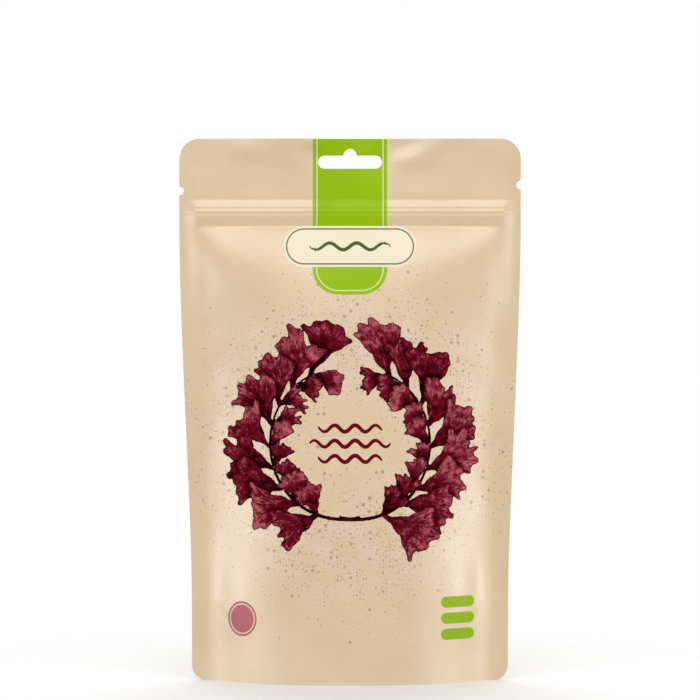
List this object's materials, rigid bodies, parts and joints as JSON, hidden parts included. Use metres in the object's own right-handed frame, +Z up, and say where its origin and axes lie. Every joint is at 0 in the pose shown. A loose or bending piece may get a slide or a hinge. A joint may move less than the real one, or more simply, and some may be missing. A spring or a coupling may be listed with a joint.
{
  "type": "stand-up pouch",
  "caption": "Sealed kraft stand-up food pouch with a hang hole, tear notches, a press-to-close zipper and an open bottom gusset, filled with dried dulse fronds.",
  "frame": {"origin": "on the ground, under the middle of the pouch", "axes": "+Z up, the printed front faces -Y, +X to the right as the front is seen"},
  "size_m": [0.16, 0.0496, 0.254],
  "materials": {
    "kraft_film": "matt kraft laminate, printed",
    "zipper_plastic": "milky, satin",
    "dried_dulse": "leathery, slightly glossy"
  },
  "bodies": {
    "root": {"front_panel": "kraft_film", "back_panel": "kraft_film", "bottom_gusset": "kraft_film", "zipper_groove_strip": "zipper_plastic", "zipper_rib_strip": "zipper_plastic", "dulse_frond_1": "dried_dulse", "dulse_frond_2": "dried_dulse", "dulse_frond_3": "dried_dulse", "dulse_frond_4": "dried_dulse", "dulse_frond_5": "dried_dulse", "dulse_frond_6": "dried_dulse", "dulse_frond_7": "dried_dulse"}
  },
  "joints": []
}
